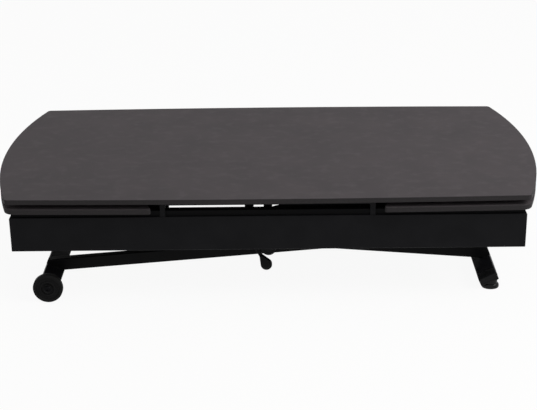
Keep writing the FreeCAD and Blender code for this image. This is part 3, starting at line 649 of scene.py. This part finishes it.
@dataclass
class LeafSlides(SubAssembly):
    """Guides on the frame and runners under the leaves."""

    head_width: float = 17.5
    tip_length: float = 2.0
    tip_margin: float = 1.0
    tip_ease: float = 0.5
    stop_ease: float = 0.2

    def dress(self) -> None:
        """Anodise the slides black, darkened further as painted shade."""
        for stem in ("guide_left", "guide_right", "runner_left", "runner_right"):
            dress(SLIDE_WITH_PAINTED_SHADE, *(side.named(stem) for side in Side))

    def stop_plates(self) -> None:
        """Close the joint between the guides of the two leaves with a thin plate that stops both runners."""
        form = Form()
        for side in Side:
            low, high = span(side.named("guide_left"))
            far = span(side.named("guide_right"))[0].x
            centre = (low + high) / 2.0
            centre.x = (high.x + far) / 2.0
            sizes = ((far - high.x) * MM, (high.y - low.y) * MM, (high.z - low.z) * MM)
            form.block(centre, AXIS_X, sizes, self.stop_ease)
        # The plates take the slides' black, darkened as painted shade.
        form.finish("guide_stop_plates", SLIDE_WITH_PAINTED_SHADE, "black_slide_metal", Body.FRAME)

    def runner_tips(self) -> None:
        """Cap the outer end of each runner's head with a plastic tip."""
        for end, body, way in (("left", Body.LEAF_LEFT, -1), ("right", Body.LEAF_RIGHT, 1)):
            form = Form()
            for side in Side:
                node = side.named(f"runner_{end}")
                low, high = span(node)
                centre = Vector(((low.x if way < 0 else high.x) + way * mm(self.tip_length / 2),
                                 side.reach(node)[0] + side.value * mm(self.head_width / 2),
                                 (low.z + high.z) / 2))
                sizes = (self.tip_length, self.head_width - self.tip_margin,
                         (high.z - low.z) * MM - self.tip_margin)
                form.block(centre, AXIS_X, sizes, self.tip_ease)
            form.finish(f"runner_tips_{end}", NYLON_BLACK, "foot_plastic", body)

    def build(self) -> None:
        """Close the guides and cap the runners."""
        self.stop_plates()
        self.runner_tips()


@dataclass(frozen=True)
class ArmPair:
    """Two arms on one tilted floor bar; way is 1 at the foot end and -1 at the wheel end."""

    arms: str
    bar: str
    body: Body
    way: int


@dataclass
class ScissorLift(SubAssembly):
    """The crossing arms with their bolts, rollers and floor bars."""

    pairs: tuple[ArmPair, ...] = (ArmPair("wheel_arm", "wheel_bar", Body.WHEEL_ARMS, -1),
                                  ArmPair("foot_arm", "foot_bar", Body.FOOT_ARMS, 1))
    arm_half: float = 10.0
    arm_half_height: float = 15.0
    arm_tube_radius: float = 12.5
    fork_half: float = 14.5
    inner_face_gap: float = 0.3
    shank_radius: float = 6.0
    washer: Section = ((6.0, 0.0), (11.0, 0.0), (11.0, 1.6), (6.0, 1.6))
    washer_height: float = 1.6
    nut: Pair = (17.0, 3.4)
    cover: Section = ((0.0, 0.0), (17.9, 0.0), (18.5, 0.6), (18.5, 2.8), (17.8, 4.0), (16.3, 4.6), (11.5, 4.9),
                      (10.5, 4.5), (9.0, 4.5), (8.2, 4.9), (0.0, 5.0))
    plug_rise: float = 1.5
    plug_margin: float = 0.6
    plug_ease: float = 0.5

    def dress(self) -> None:
        """Coat the arms and leave the pins plated."""
        # The arms take the darker copy of the coat, painted shade.
        dress(ARM_COAT_PAINTED_SHADE, "wheel_arm_front", "wheel_arm_rear", "foot_arm_front", "foot_arm_rear",
              "wheel_arm_tube", "spring_lugs")
        # The floor bars take a paler copy of the coat, painted light.
        dress(BAR_COAT_PAINTED_LIGHT, "wheel_bar", "foot_bar")
        dress(NYLON_WHITE, "roller_front", "roller_rear")
        dress(ZINC, "centre_spacers", "roller_axles", "foot_pins")
        dress(NYLON_BLACK, "wheel_bar_plugs", "foot_bar_plugs", "wheel_arm_caps", "foot_arm_caps")

    def end_hex(self, form: Form, seat: Vector, way: Vector) -> None:
        """Add a washer on a seat and a hexagon outside it."""
        form.lathe(self.washer, seat, way, flats=32, closed=True)
        form.hex_head(seat + way * mm(self.washer_height), way, *self.nut)

    def shank(self, form: Form, start: Vector, end: Vector) -> None:
        """Add the round part of a bolt, from under its head to under its nut."""
        radius, length = self.shank_radius, (end - start).length * MM
        form.lathe([(0.0, 0.0), (radius, 0.0), (radius, length), (0.0, length)], start,
                   (end - start).normalized(), flats=32)

    def upper_bolts(self) -> None:
        """Make the hexagon bolts of the upper pivots."""
        form = Form()
        reach = AXIS_Y * mm(self.fork_half)
        for side in Side:
            seat = pivot("upper_pivot")
            seat.y = middle(side.named("wheel_arm")).y
            self.shank(form, seat - reach, seat + reach)
            self.end_hex(form, seat - reach, -AXIS_Y)
            self.end_hex(form, seat + reach, AXIS_Y)
        form.finish("upper_pivot_hex_bolts", ZINC, "zinc_bolt_steel", Body.FRAME, "pivot_bolts")

    def crossing_bolts(self) -> None:
        """Make the bolts at the crossing: a moulded cover outside, a nut inside."""
        bolts, covers = Form(), Form()
        for side in Side:
            out = AXIS_Y * side.value
            start, end = pivot("scissor"), pivot("scissor")
            start.y = middle(side.named("wheel_arm")).y + side.value * mm(self.arm_half)
            end.y = middle(side.named("foot_arm")).y - side.value * mm(self.arm_half + self.inner_face_gap)
            self.shank(bolts, start, end)
            self.end_hex(bolts, end, -out)
            covers.lathe(self.cover, start, out, flats=64)
        bolts.finish("crossing_hex_bolts", ZINC, "zinc_bolt_steel", Body.WHEEL_ARMS, "centre_bolts")
        covers.finish("crossing_bolt_covers", NYLON_BLACK, "foot_plastic", Body.WHEEL_ARMS)

    def floor_end(self, pair: ArmPair) -> None:
        """Weld two arms to the upper face of their floor bar and plug the arms' open lower ends.

        Args:
            pair: the arms and the bar.
        """
        beads, plugs = WeldBeads(), Form()
        bar = middle(pair.bar)
        rise = pivot("upper_pivot") - pivot("scissor")
        slope = BAR_TILT + math.atan2(rise.z, rise.x)
        above = (pivot("scissor").z - abs(bar.x) * rise.z / rise.x - bar.z) * MM
        crossing = (above * math.sin(BAR_TILT)
                    + (above * math.cos(BAR_TILT) - BAR_HALF_HEIGHT) / math.tan(slope))
        reach = self.arm_half_height / math.sin(slope)
        along, square = bar_directions(pair.way)
        first = along * mm(max(-BAR_HALF_WIDTH, crossing - reach))
        last = along * mm(BAR_HALF_WIDTH)
        opening = (crossing + reach - BAR_HALF_WIDTH) * math.tan(slope)
        sizes = (2 * self.plug_rise, 2 * self.arm_half - self.plug_margin, opening - self.plug_margin)
        for side in Side:
            base = bar + square * mm(BAR_HALF_HEIGHT) + AXIS_Y * middle(side.named(pair.arms)).y
            for flank in (-AXIS_Y * mm(self.arm_half), AXIS_Y * mm(self.arm_half)):
                beads.run(base + flank + first, base + flank + last)
            plugs.block(base + last + square * mm(opening / 2), along, sizes, self.plug_ease)
        plugs.finish(f"{pair.arms}_toe_plugs", NYLON_BLACK, "foot_plastic", pair.body)
        if pair.body is Body.WHEEL_ARMS:
            self.tube_welds(beads)
        beads.finish(f"{pair.arms}_weld_beads", WELD, "black_arm_steel", pair.body)

    def tube_welds(self, beads: WeldBeads) -> None:
        """Weld the tube that ties the wheel arms to the arms and to the spring's lugs.

        Args:
            beads: the wheel arms' weld beads.
        """
        for node in ("wheel_arm_tube", "spring_lugs"):
            for corner in span(node):
                seam = middle("wheel_arm_tube")
                seam.y = corner.y
                beads.ring(seam, AXIS_Y, self.arm_tube_radius)

    def build(self) -> None:
        """Make the bolts at the upper pivots and at the crossing, then weld and plug the arms."""
        self.upper_bolts()
        self.crossing_bolts()
        for pair in self.pairs:
            self.floor_end(pair)


@dataclass
class WheelEnd(SubAssembly):
    """The two wheels and their shoulder bolts."""

    bore: float = 5.1
    hub_rise: float = 1.5
    face: Section = ((9.6, 1.5), (10.2, 1.0), (10.4, -2.6), (11.0, -3.0), (13.6, -3.0), (14.4, -2.6),
                     (15.0, -0.8), (15.6, -0.4), (17.6, -0.4), (18.2, -0.8), (19.2, -3.2), (20.0, -3.6),
                     (25.8, -3.6), (26.6, -3.2), (27.8, -0.6), (28.6, 0.0))
    tread_corner: Section = ((2.8, 0.0), (1.4, 0.4), (0.4, 1.4), (0.0, 2.8))
    recess: Pair = (27.0, 13.0)
    recess_depth: float = 2.0
    axle_radius: float = 5.0
    head: Section = ((0.0, -2.2), (3.2, -2.2), (3.2, -0.4), (3.6, 0.0), (5.8, -0.2), (7.8, -0.9), (8.8, -2.0),
                     (9.0, -3.0))
    head_height: float = 3.0
    shoulder_radius: float = 8.5
    face_gap: float = 0.3
    bar_gap: float = 5.0
    shank: float = 24.0

    def wheels(self) -> None:
        """Turn the wheels, each from its bore out over the tread and back."""
        outer, inner = self.recess
        for side in Side:
            form = Form()
            node = side.named("wheel")
            low, high = span(node)
            radius, width = (high.z - low.z) / 2.0 * MM, (high.y - low.y) * MM - self.hub_rise
            floor = self.recess_depth - width
            section = [(self.bore, self.hub_rise), *self.face,
                       *((radius - a, -b) for a, b in self.tread_corner),
                       *((radius - a, b - width) for a, b in reversed(self.tread_corner)),
                       (outer, -width), (outer, floor), (inner, floor), (inner, -width), (self.bore, -width)]
            centre = middle(node)
            centre.y = side.reach(node)[1] - side.value * mm(self.hub_rise)
            form.lathe(section, centre, AXIS_Y * side.value, flats=96, closed=True)
            form.finish(f"{node}_turned", TREAD, "wheel_plastic", Body(node), node)

    def axles(self) -> None:
        """Turn the shoulder bolts: socketed head outside the wheel, shoulder between wheel and bar."""
        form = Form()
        low, high = span("wheel_rear")
        inside = -self.head_height - (high.y - low.y) * MM - 2 * self.face_gap
        end = inside + self.face_gap - self.bar_gap
        axle, shoulder = self.axle_radius, self.shoulder_radius
        section = [*self.head, (axle, -self.head_height), (axle, inside), (shoulder, inside), (shoulder, end),
                   (axle, end), (axle, end - self.shank), (0.0, end - self.shank)]
        for side in Side:
            tip = middle("wheel_axles")
            tip.y = side.value * span("wheel_axles")[1].y
            form.lathe(section, tip, AXIS_Y * side.value)
        form.finish("wheel_shoulder_bolts", BLACKENED, "black_bolt_steel", Body.WHEEL_ARMS, "wheel_axles")

    def build(self) -> None:
        """Turn the wheels and their bolts."""
        self.wheels()
        self.axles()


@dataclass
class FootEnd(SubAssembly):
    """Blocks that end the foot bar, each swivelling on the neck of a round glide."""

    block_under: float = 6.5
    rounding: float = 2.0
    panel_margin: float = 3.4
    panel_depth: float = 0.8
    glide_section: Section = ((0.0, 0.0), (18.2, 0.0), (19.8, 0.8), (20.6, 2.6), (20.8, 5.0), (20.6, 7.0),
                              (20.0, 9.0), (19.0, 10.6), (17.8, 11.6), (16.6, 12.0), (16.6, 27.0), (0.0, 27.0))
    glide_radius: float = 20.8
    glide_offset: float = 5.3

    def end_block(self, side: Side) -> None:
        """Mould the block that ends the bar on one side, with a sunk panel in its outer face.

        Args:
            side: the table's long side.
        """
        base = pivot("lift")
        base.y, outer_y = side.reach(side.named("foot"))
        along, square = bar_directions(1)
        wide, top, under = BAR_HALF_WIDTH, BAR_HALF_HEIGHT, -self.block_under
        outline = ((-wide, top), (wide, top), (wide, under), (-wide, under))
        form = Form()
        form.slab([base + along * mm(u) + square * mm(w) for u, w in outline], outer_y - base.y)
        form.ease(form.bm.edges, self.rounding, flats=3)
        front = [f for f in form.bm.faces if abs(f.calc_center_median().y - outer_y) < NEAR]
        bmesh.ops.inset_region(form.bm, faces=front, thickness=mm(self.panel_margin))
        bmesh.ops.inset_region(form.bm, faces=front, thickness=mm(self.panel_depth),
                               depth=-mm(self.panel_depth))
        form.finish(side.named("foot_bar_end"), NYLON_BLACK, "foot_plastic", Body.FOOT_ARMS)

    def glide(self, side: Side) -> None:
        """Turn the round glide that stands on the floor, oval to suit the foot's depth.

        Args:
            side: the table's long side.
        """
        form = Form()
        node = side.named("foot")
        low, high = span(node)
        centre = Vector((pivot("lift").x + mm(self.glide_offset), (low.y + high.y) / 2.0, low.z))
        form.lathe(self.glide_section, centre, AXIS_Z, flats=72)
        squeeze = (high.y - low.y) / mm(2.0 * self.glide_radius)
        bmesh.ops.scale(form.bm, vec=(1.0, squeeze, 1.0), space=Matrix.Translation(-centre),
                        verts=form.bm.verts)
        form.finish(f"{node}_glide", GLIDE, "foot_plastic", Body.FEET, node)

    def build(self) -> None:
        """Close the bar's ends and put a glide under each."""
        for side in Side:
            self.end_block(side)
            self.glide(side)


@dataclass
class GasSpring(SubAssembly):
    """The lockable gas spring."""

    mouth: float = 30.0
    wiper: Section = ((5.15, 0.3), (5.15, -1.6), (5.95, -1.6), (6.75, -0.8), (7.8, -0.64), (8.2, 0.0),
                      (8.2, 0.3))

    def dress(self) -> None:
        """Chrome the rod and enamel the cylinder."""
        dress(CHROME, "spring_rod")
        dress(POWDER, "spring_cylinder")
        dress(ZINC, "spring_pin", "lug_pin")

    def build(self) -> None:
        """Press a soft wiper ring in the cylinder's mouth."""
        form = Form()
        axis = Vector(JOINTS["spring_stroke"]["axis"]).normalized()
        form.lathe(self.wiper, pivot("spring_swing") + axis * mm(self.mouth), axis, closed=True)
        form.finish("rod_wiper_ring", VINYL, "cylinder_paint", Body.CYLINDER)


@dataclass
class ReleaseGear(SubAssembly):
    """The release lever, its grip and its cable."""

    rivet: Section = ((0.0, 0.0), (5.0, 0.0), (5.0, 0.6), (4.0, 1.5), (2.25, 1.9), (0.0, 2.0))
    ring_ease: float = 0.5
    clip_ring: Triple = (3.2, 5.0, 9.0)
    clip_plate: Triple = (11.0, 16.0, 2.0)
    clip_stem: Pair = (9.0, 5.0)
    clip_sink: float = 0.3
    clip_root: float = 4.2
    clip_distance: float = 39.5
    cable_bend: float = 90.0
    cable_bend_end: float = -150.0
    strap_width: float = 10.0
    strap_thickness: float = 4.0
    strap_straight: float = 34.0
    strap_ease: float = 0.8
    eye_bore: float = 3.1
    eye_radius: float = 6.0
    neck_x: float = -29.5
    neck_rise: float = 44.0
    grip_x: float = -5.0
    grip_drop: Triple = (13.5, 5.0, 22.0)
    grip_ease: float = 4.0
    dome_drop: Triple = (8.8, 2.4, 18.0)
    dome_height: float = 2.6
    drop_flats: int = 12

    def dress(self) -> None:
        """Sheathe the cable and plate the lever's pin."""
        dress(VINYL, "release_cable")
        dress(ZINC, "lever_pin")

    def grip_middle(self) -> Vector:
        """Middle of the grip's large round, in metres."""
        low, high = span("lever_grip")
        return Vector((mm(self.grip_x), (low.y + high.y) / 2.0, low.z + mm(self.grip_drop[0])))

    def neck(self) -> Vector:
        """Where the strap turns towards the grip, in metres."""
        grip = self.grip_middle()
        return Vector((mm(self.neck_x), grip.y, grip.z + mm(self.neck_rise)))

    def lean(self) -> Vector:
        """Unit direction from the grip up to the strap's neck."""
        return (self.neck() - self.grip_middle()).normalized()

    def drop(self, large: float, small: float, length: float) -> list[Pair]:
        """Half outline of a drop, in millimetres: a large round, a straight flank and a small round.

        Args:
            large: radius of the large round.
            small: radius of the small round.
            length: distance between the middles of the rounds.

        Returns:
            Radius and distance from the middle of the large round.
        """
        flank, quarter = math.asin((large - small) / length), math.pi / 2
        shares = [n / self.drop_flats for n in range(self.drop_flats + 1)]
        low = [-quarter + (flank + quarter) * share for share in shares]
        high = [flank + (quarter - flank) * share for share in shares]
        return ([(large * math.cos(a), large * math.sin(a)) for a in low]
                + [(small * math.cos(a), length + small * math.sin(a)) for a in high])

    def ring(self, bore: float, radius: float, width: float) -> Section:
        """Section of a ring with eased rims, all in millimetres."""
        half, ease = width / 2, self.ring_ease
        return [(bore, -half), (radius - ease, -half), (radius, ease - half), (radius, half - ease),
                (radius - ease, half), (bore, half)]

    def strap(self) -> None:
        """Cut the lever's flat strap: straight below its eye, then cranked out and in again to the grip."""
        form = Form()
        eye = pivot("lever_pull")
        rim = mm((self.eye_bore + self.eye_radius) / 2)
        line = [eye - AXIS_Z * rim, eye - AXIS_Z * mm(self.strap_straight), self.neck(), self.grip_middle()]
        half = AXIS_X * mm(self.strap_width / 2) + AXIS_Y * mm(self.strap_thickness / 2)
        back = AXIS_X * mm(self.strap_width)
        corners = [place - half for place in line] + [place - half + back for place in reversed(line)]
        form.slab(corners, mm(self.strap_thickness))
        form.ease(form.bm.edges, self.strap_ease)
        form.lathe(self.ring(self.eye_bore, self.eye_radius, self.strap_width), eye, AXIS_X, flats=32,
                   closed=True)
        # The strap takes the arms' darker coat, painted shade.
        form.finish("release_lever_strap", ARM_COAT_PAINTED_SHADE, "lever_steel", Body.LEVER, "release_lever")

    def grip(self) -> None:
        """Mould the drop-shaped grip on the end of the strap."""
        form = Form()
        low, high = span("lever_grip")
        rise = self.lean()
        out = rise.cross(AXIS_Y)
        half = self.drop(*self.grip_drop)
        base = self.grip_middle()
        base.y = low.y
        corners = [base + out * mm(r) + rise * mm(d) for r, d in half]
        corners += [base - out * mm(r) + rise * mm(d) for r, d in reversed(half[1:-1])]
        form.ease(form.slab(corners, high.y - low.y), self.grip_ease, flats=5)
        form.finish("lever_grip_moulded", VINYL, "grip_plastic", Body.LEVER, "lever_grip")

    def grip_domes(self) -> None:
        """Add a polished drop-shaped dome to each face of the grip."""
        form = Form()
        section = self.drop(*self.dome_drop)
        squeeze = (1.0, self.dome_height / self.dome_drop[0], 1.0)
        for face in span("lever_grip"):
            centre = self.grip_middle()
            centre.y = face.y
            before = set(form.bm.verts)
            form.lathe(section, centre, self.lean())
            added = [v for v in form.bm.verts if v not in before]
            bmesh.ops.scale(form.bm, vec=squeeze, space=Matrix.Translation(-centre), verts=added)
        form.finish("grip_domes", GLOSS, "grip_plastic", Body.LEVER)

    def rivet_head(self) -> None:
        """Rivet the lever's pin over."""
        form = Form()
        seat = middle("lever_pin")
        seat.x = span("lever_pin")[1].x
        form.lathe(self.rivet, seat, AXIS_X, flats=32)
        form.finish("lever_pin_rivet_head", ZINC, "zinc_bolt_steel", Body.FRAME)

    def clips(self) -> None:
        """Hang the cable from the tube that its bend passes under, and from the tube at the gas spring."""
        form = Form()
        level, eye = middle("release_cable").z, pivot("spring_swing")
        tube_x, bend = middle("centre_tube_right").x, mm(self.cable_bend)
        turn = math.acos(1.0 - (tube_x - pivot("lever_pull").x) / bend)
        slant = Vector((math.sin(turn), math.cos(turn), 0.0))
        first = Vector((tube_x, mm(self.cable_bend_end) - bend + bend * slant.x, level))
        second = Vector((eye.x, eye.y - mm(self.clip_distance), level))
        for cable, along, tube in ((first, slant, "centre_tube_right"), (second, AXIS_Y, "spring_cross_tube")):
            form.lathe(self.ring(*self.clip_ring), cable, along, flats=32, closed=True)
            ceiling, thickness = span(tube)[0].z, self.clip_plate[2]
            form.block(Vector((cable.x, cable.y, ceiling - mm(thickness / 2))), along, self.clip_plate,
                       self.ring_ease)
            top, bottom = ceiling - mm(thickness - self.clip_sink), level + mm(self.clip_root)
            form.block(Vector((cable.x, cable.y, (top + bottom) / 2)), along,
                       (*self.clip_stem, (top - bottom) * MM), self.ring_ease)
        form.finish("cable_clips", NYLON_BLACK, "grip_plastic", Body.FRAME)

    def build(self) -> None:
        """Make the lever with its grip, rivet its pin and clip the cable to the frame."""
        self.strap()
        self.grip()
        self.grip_domes()
        self.rivet_head()
        self.clips()


@dataclass
class Studio:
    """Pale floor, soft light and the camera of the photograph."""

    image_width: int = 537
    focal_px: float = 1332.0
    pitch: float = 22.156
    roll: float = 0.735
    yaw: float = 0.468
    eye: Triple = (0.025, -3.1184, 1.3855)
    sensor: float = 36.0
    floor_size: float = 40.0
    floor_colour: str = "#f4f3f1"
    floor_glow: float = 0.93
    sky: float = 0.48
    lamp_place: Triple = (2.8, -1.2, 2.5)
    lamp_size: float = 2.0
    lamp_power: float = 75.0

    def camera(self) -> None:
        """Set the camera at the photograph's viewing angle."""
        data = bpy.data.cameras.new("photo_camera")
        data.sensor_width = self.sensor
        data.lens = self.focal_px / self.image_width * self.sensor
        seen = placed("photo_camera", data)
        turn = (Matrix.Rotation(math.radians(self.yaw), 4, "Z")
                @ Matrix.Rotation(math.radians(90.0 - self.pitch), 4, "X")
                @ Matrix.Rotation(math.radians(-self.roll), 4, "Z"))
        seen.matrix_world = Matrix.Translation(Vector(self.eye)) @ turn
        bpy.context.scene.camera = seen

    def seen_directly(self, tree: Tree) -> Socket:
        """Find out whether a ray shows the background as such.

        Args:
            tree: the floor's or world's node tree.

        Returns:
            Socket that is above 0 for camera, mirror and glass rays.
        """
        path = add_node(tree, "ShaderNodeLightPath")
        total = path.outputs["Is Camera Ray"]
        for name in ("Is Glossy Ray", "Is Transmission Ray"):
            total = add_node(tree, "ShaderNodeMath", {"operation": "MAXIMUM"},
                             {0: total, 1: path.outputs[name]}).outputs["Value"]
        return total

    def floor(self) -> None:
        """Lay a pale floor that shows white and still takes the table's shadow."""
        bm = bmesh.new()
        bmesh.ops.create_grid(bm, x_segments=1, y_segments=1, size=self.floor_size / 2)
        mesh = bpy.data.meshes.new("studio_floor")
        bm.to_mesh(mesh)
        bm.free()
        placed("studio_floor", mesh)
        made = bpy.data.materials.new("pale_floor_paper")
        tree = cleared(made)
        paper = add_node(tree, "ShaderNodeBsdfDiffuse", {"Color": linear(self.floor_colour)})
        glow = add_node(tree, "ShaderNodeEmission", {"Color": WHITE, "Strength": 1.0})
        share = add_node(tree, "ShaderNodeMath", {"operation": "MULTIPLY", 1: self.floor_glow},
                         {0: self.seen_directly(tree)})
        mixed = add_node(tree, "ShaderNodeMixShader", None, {0: share, 1: paper, 2: glow})
        add_node(tree, "ShaderNodeOutputMaterial", None, {"Surface": mixed})
        mesh.materials.append(made)

    def world(self) -> None:
        """Surround the table with even white light."""
        around = bpy.data.worlds.new("studio_world")
        bpy.context.scene.world = around
        tree = cleared(around)
        soft = add_node(tree, "ShaderNodeBackground", {"Color": WHITE, "Strength": self.sky})
        white = add_node(tree, "ShaderNodeBackground", {"Color": WHITE, "Strength": 1.0})
        mixed = add_node(tree, "ShaderNodeMixShader", None, {0: self.seen_directly(tree), 1: soft, 2: white})
        add_node(tree, "ShaderNodeOutputWorld", None, {"Surface": mixed})

    def lamp(self) -> None:
        """Hang a square soft lamp on the right that points at the table."""
        data = bpy.data.lights.new("right_softbox", "AREA")
        data.size = self.lamp_size
        data.energy = self.lamp_power
        spot = Vector(self.lamp_place)
        turn = spot.to_track_quat("Z", "Y").to_matrix().to_4x4()
        placed("right_softbox", data).matrix_world = Matrix.Translation(spot) @ turn

    def build(self) -> None:
        """Put up the studio."""
        bpy.context.scene.view_settings.view_transform = "Standard"
        self.camera()
        self.floor()
        self.world()
        self.lamp()


def main() -> None:
    """Build the studio, then each sub-assembly in order."""
    logging.basicConfig(level=logging.INFO, format="%(message)s")
    Studio().build()
    for group in (TableTop(), ApronFrame(), LeafSlides(), ScissorLift(), WheelEnd(), FootEnd(), GasSpring(),
                  ReleaseGear()):
        group.dress()
        group.build()


if __name__ == "__main__":
    main()
